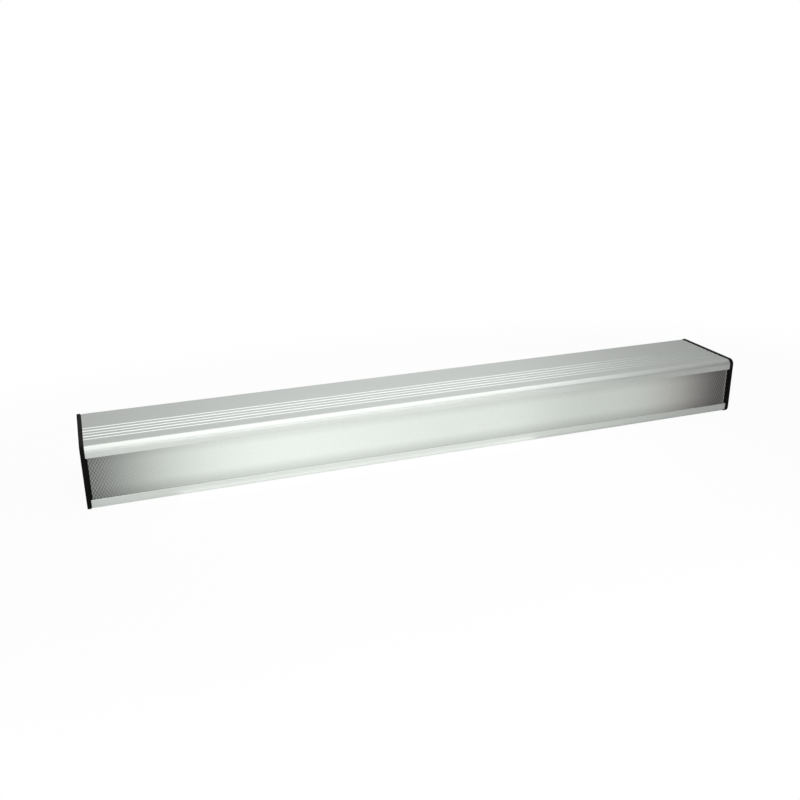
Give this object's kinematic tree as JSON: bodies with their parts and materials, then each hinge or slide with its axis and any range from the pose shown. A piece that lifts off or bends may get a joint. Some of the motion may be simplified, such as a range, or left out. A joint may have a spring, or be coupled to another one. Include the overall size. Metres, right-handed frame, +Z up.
{
  "type": "led linear light",
  "caption": "Long box-shaped LED light with a satin aluminium housing, black end caps, a prismatic light window and rear T-slots with sliding nuts.",
  "frame": {"origin": "middle of the rear mounting face, midway along the light and midway up it", "axes": "+X along the light towards the power inlet, +Y out of the rear mounting face (the light window faces -Y), +Z up out of the grooved face"},
  "size_m": [0.612, 0.0775, 0.0536],
  "materials": {
    "anodised_aluminium": "satin anodised, fine extrusion lines",
    "black_plastic": "finely textured moulding",
    "black_rubber": "soft matte",
    "black_steel": "black oxide",
    "prismatic_sheet": "clear acrylic with a diamond micro-prism face",
    "white_reflector": "white lacquered strip",
    "white_board": "white solder mask",
    "grey_pad": "silicone pad",
    "led_phosphor": "yellow phosphor under a clear dome",
    "zinc_steel": "bright zinc",
    "spring_steel": "rolled strip",
    "white_plastic": "moulded",
    "grey_plastic": "moulded",
    "green_board": "green solder mask",
    "capacitor_sleeve": "shrink sleeve",
    "dark_ferrite": "pressed ferrite",
    "nickel": "nickel plated brass",
    "gold_contact": "gold flash",
    "brown_wire": "insulation",
    "white_wire": "insulation",
    "blue_wire": "insulation",
    "black_wire": "insulation",
    "red_wire": "insulation"
  },
  "bodies": {
    "luminaire": {"housing_profile": "anodised_aluminium", "end_cap_left": "black_plastic", "end_cap_right": "black_plastic", "end_gasket_left": "black_rubber", "end_gasket_right": "black_rubber", "end_cap_screws_left": "black_steel", "end_cap_screws_right": "black_steel", "diffuser": "prismatic_sheet", "diffuser_seal_upper": "black_rubber", "diffuser_seal_lower": "black_rubber", "reflector_upper": "white_reflector", "reflector_lower": "white_reflector", "led_board_left": "white_board", "led_board_right": "white_board", "thermal_pad_left": "grey_pad", "thermal_pad_right": "grey_pad", "leds_left": "led_phosphor", "leds_right": "led_phosphor", "led_board_screws": "zinc_steel", "board_link": "white_plastic", "led_terminal": "white_plastic", "driver_board": "green_board", "driver_standoffs": "zinc_steel", "driver_screws": "zinc_steel", "input_terminal": "grey_plastic", "output_terminal": "grey_plastic", "driver_capacitors": "capacitor_sleeve", "driver_inductors": "dark_ferrite", "driver_chips": "black_plastic", "driver_fuse": "white_plastic", "wire_grommet": "black_rubber", "inlet_shell": "nickel", "inlet_insert": "black_plastic", "inlet_pins": "gold_contact", "inlet_seal": "black_rubber", "inlet_nut": "nickel", "supply_wire_brown": "brown_wire", "supply_wire_white": "white_wire", "supply_wire_blue": "blue_wire", "supply_wire_black": "black_wire", "led_wire_positive": "red_wire", "led_wire_negative": "black_wire"},
    "nut_upper_left": {"slot_nut_upper_left": "zinc_steel", "nut_spring_upper_left": "spring_steel"},
    "nut_upper_right": {"slot_nut_upper_right": "zinc_steel", "nut_spring_upper_right": "spring_steel"},
    "nut_lower_left": {"slot_nut_lower_left": "zinc_steel", "nut_spring_lower_left": "spring_steel"},
    "nut_lower_right": {"slot_nut_lower_right": "zinc_steel", "nut_spring_lower_right": "spring_steel"}
  },
  "joints": [
    {"name": "upper_left_nut_slide", "type": "slide", "parent": "luminaire", "child": "nut_upper_left", "axis": [1, 0, 0], "range_m": [-0.135, 0.135]},
    {"name": "upper_right_nut_slide", "type": "slide", "parent": "luminaire", "child": "nut_upper_right", "axis": [1, 0, 0], "range_m": [-0.135, 0.135]},
    {"name": "lower_left_nut_slide", "type": "slide", "parent": "luminaire", "child": "nut_lower_left", "axis": [1, 0, 0], "range_m": [-0.135, 0.135]},
    {"name": "lower_right_nut_slide", "type": "slide", "parent": "luminaire", "child": "nut_lower_right", "axis": [1, 0, 0], "range_m": [-0.135, 0.135]}
  ]
}
